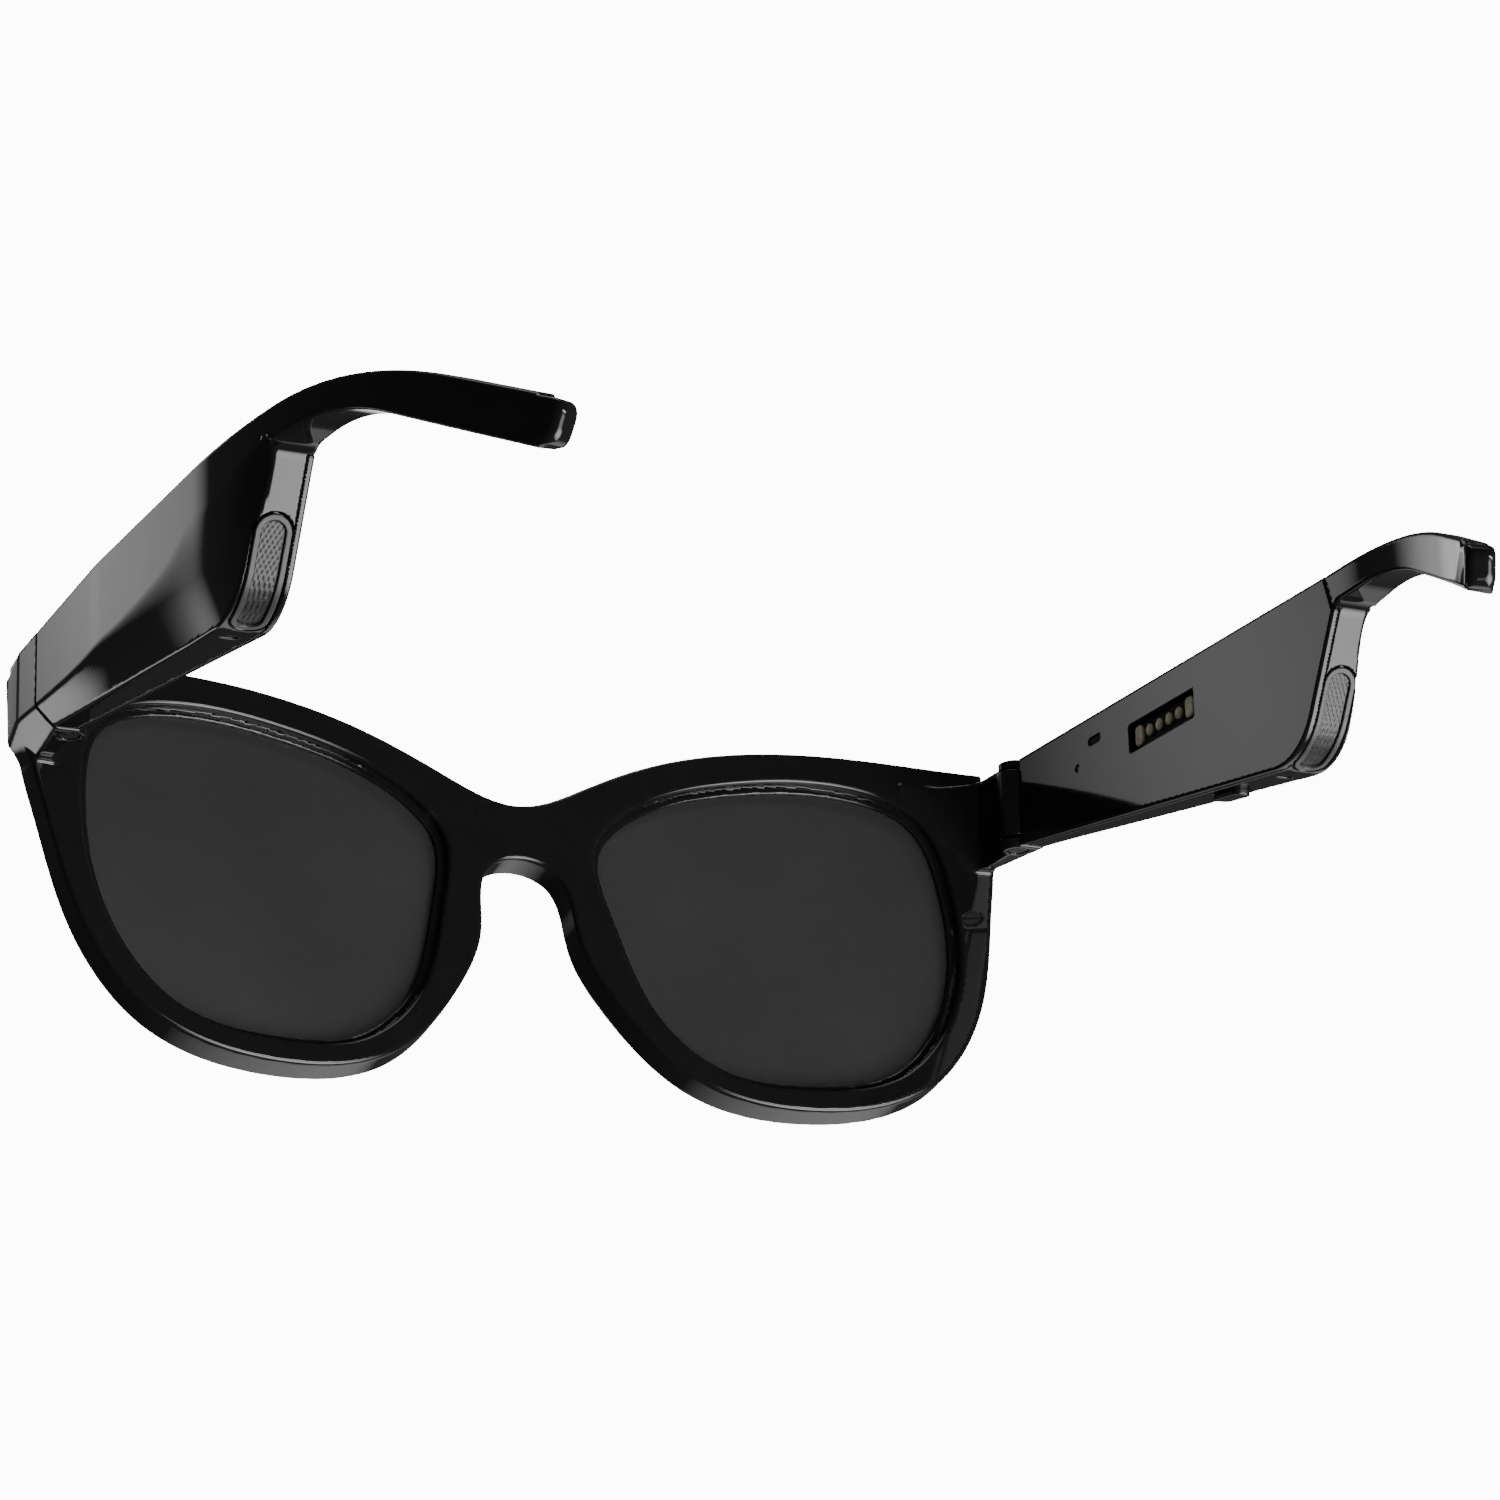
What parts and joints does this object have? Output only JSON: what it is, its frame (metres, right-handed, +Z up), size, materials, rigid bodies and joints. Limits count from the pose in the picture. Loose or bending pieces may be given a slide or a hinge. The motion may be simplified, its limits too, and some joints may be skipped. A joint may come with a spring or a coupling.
{
  "type": "smart glasses",
  "caption": "Folding audio smart glasses: a framed pair of dark lenses with thick hinged temples that hold speakers, charging contacts and a side key.",
  "frame": {"origin": "on the surface the glasses stand on, on the middle plane, level with the lenses' rear surface at the bridge", "axes": "+X to the wearer's left, +Y to the rear (the glasses face -Y), +Z up"},
  "size_m": [0.1492, 0.1435, 0.0558],
  "materials": {
    "gloss_black": "polished injection-moulded shell, dark clear coat",
    "gloss_black_cover": "polished moulded cover, slightly softer gloss than the shell",
    "lens_tint": "dark grey tinted lens, anti-glare coated on the inside",
    "screw_steel": "blackened steel, machined",
    "core_steel": "spring steel strip",
    "hinge_metal": "black painted hinge leaf and barrel",
    "bezel_plastic": "gloss black grille surround",
    "mesh_steel": "black coated woven metal mesh",
    "driver_black": "speaker body",
    "cell_foil": "foil pouch cell",
    "board_green": "solder-masked circuit board",
    "pad_film": "touch sensor film",
    "antenna_brass": "stamped antenna strip",
    "flex_film": "amber flexible circuit",
    "mic_can": "microphone can",
    "contact_moulding": "matte black moulded block",
    "contact_gold": "pale gold plated contacts",
    "sensor_glass": "black infrared window",
    "guide_plastic": "smoked light guide",
    "switch_black": "dome switch",
    "key_black": "gloss black key cap"
  },
  "bodies": {
    "front": {"front_frame": "gloss_black", "lens_left": "lens_tint", "lens_right": "lens_tint", "hinge_screw_left": "screw_steel", "hinge_screw_right": "screw_steel"},
    "temple_left": {"temple_shell_left": "gloss_black", "temple_cover_left": "gloss_black_cover", "hook_core_left": "core_steel", "hinge_leaf_left": "hinge_metal", "hinge_leaf_screws_left": "screw_steel", "grille_bezel_left": "bezel_plastic", "grille_mesh_left": "mesh_steel", "speaker_driver_left": "driver_black", "battery_left": "cell_foil", "main_board_left": "board_green", "touch_pad_left": "pad_film", "antenna_left": "antenna_brass", "flex_lead_left": "flex_film", "microphone_left": "mic_can"},
    "temple_right": {"temple_shell_right": "gloss_black", "temple_cover_right": "gloss_black_cover", "hook_core_right": "core_steel", "hinge_leaf_right": "hinge_metal", "hinge_leaf_screws_right": "screw_steel", "grille_bezel_right": "bezel_plastic", "grille_mesh_right": "mesh_steel", "speaker_driver_right": "driver_black", "battery_right": "cell_foil", "main_board_right": "board_green", "touch_pad_right": "pad_film", "antenna_right": "antenna_brass", "flex_lead_right": "flex_film", "microphone_right": "mic_can", "contact_block": "contact_moulding", "contact_pins": "contact_gold", "end_contacts": "contact_gold", "sensor_window": "sensor_glass", "light_guide": "guide_plastic", "key_switch": "switch_black"},
    "key": {"power_key": "key_black"}
  },
  "joints": [
    {"name": "temple_left_fold", "type": "hinge", "parent": "front", "child": "temple_left", "pos_m": [0.068, 0.01955, 0.0483], "axis": [0, 0.2334, 0.9724], "range_deg": [0, 88]},
    {"name": "temple_right_fold", "type": "hinge", "parent": "front", "child": "temple_right", "pos_m": [-0.068, 0.01955, 0.0483], "axis": [0, -0.2334, -0.9724], "range_deg": [0, 78]},
    {"name": "key_press", "type": "slide", "parent": "temple_right", "child": "key", "axis": [0, 0.364, 0.9314], "range_m": [0, 0.0004], "stiffness_N_per_m": 1500, "springref_m": -0.0003}
  ]
}
